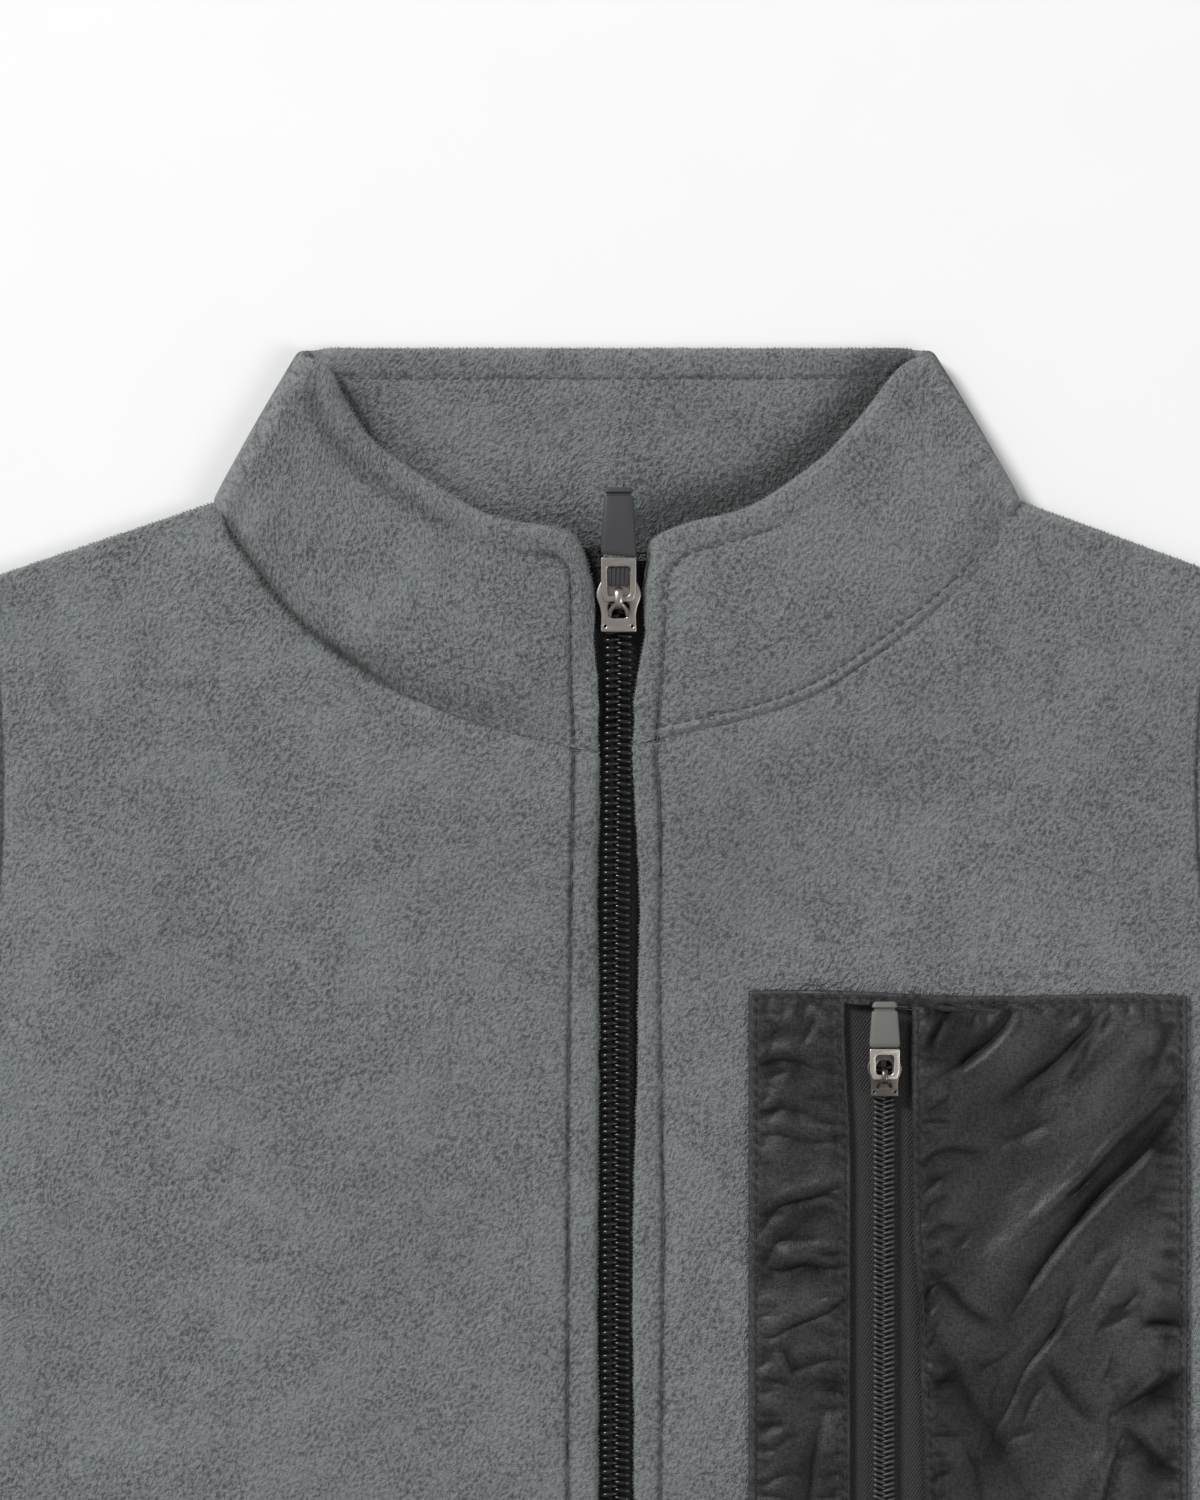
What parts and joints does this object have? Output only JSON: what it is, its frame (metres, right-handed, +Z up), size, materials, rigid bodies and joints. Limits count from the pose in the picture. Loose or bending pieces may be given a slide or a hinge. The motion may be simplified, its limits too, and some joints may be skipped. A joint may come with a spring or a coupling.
{
  "type": "child's fleece gilet, laid flat",
  "caption": "Sleeveless zipped fleece gilet laid flat, with a stand collar, open armholes and a zipped nylon chest pocket.",
  "frame": {"origin": "centre of the bounding box on the surface that the garment lies on", "axes": "+Y from the hem to the collar, +Z up from the surface through the back panel to the fronts, +X to the wearer's left, where the chest pocket is"},
  "size_m": [0.3602, 0.4733, 0.0172],
  "materials": {
    "fleece": "grey pile fleece, matt",
    "nylon": "black crumpled woven nylon, soft sheen",
    "zip_tape": "black woven tape",
    "zip_coil": "black nylon coil",
    "zip_metal": "satin nickel-plated zinc",
    "pull_rubber": "matt moulded grip"
  },
  "bodies": {
    "garment": {"back": "fleece", "front_right": "fleece", "front_left": "fleece", "collar": "fleece", "zip_tape_right": "zip_tape", "zip_tape_left": "zip_tape", "zip_chain": "zip_coil", "zip_box": "zip_coil", "zip_pin": "zip_coil", "zip_slider": "zip_metal", "pocket_strip": "nylon", "pocket_panel": "nylon", "pocket_tape_right": "zip_tape", "pocket_tape_left": "zip_tape", "pocket_chain": "zip_coil", "pocket_slider": "zip_metal"},
    "zip_pull": {"zip_pull_frame": "zip_metal", "zip_pull_grip": "pull_rubber"},
    "pocket_pull": {"pocket_pull_frame": "zip_metal", "pocket_pull_grip": "pull_rubber"}
  },
  "joints": [
    {"name": "zip_pull_hinge", "type": "hinge", "parent": "garment", "child": "zip_pull", "pos_m": [0.0011, 0.1846, 0.0154], "axis": [1, 0, 0], "range_deg": [0, 174]},
    {"name": "pocket_pull_hinge", "type": "hinge", "parent": "garment", "child": "pocket_pull", "pos_m": [0.05535, 0.0872, 0.01246], "axis": [1, 0, 0], "range_deg": [0, 174]}
  ]
}
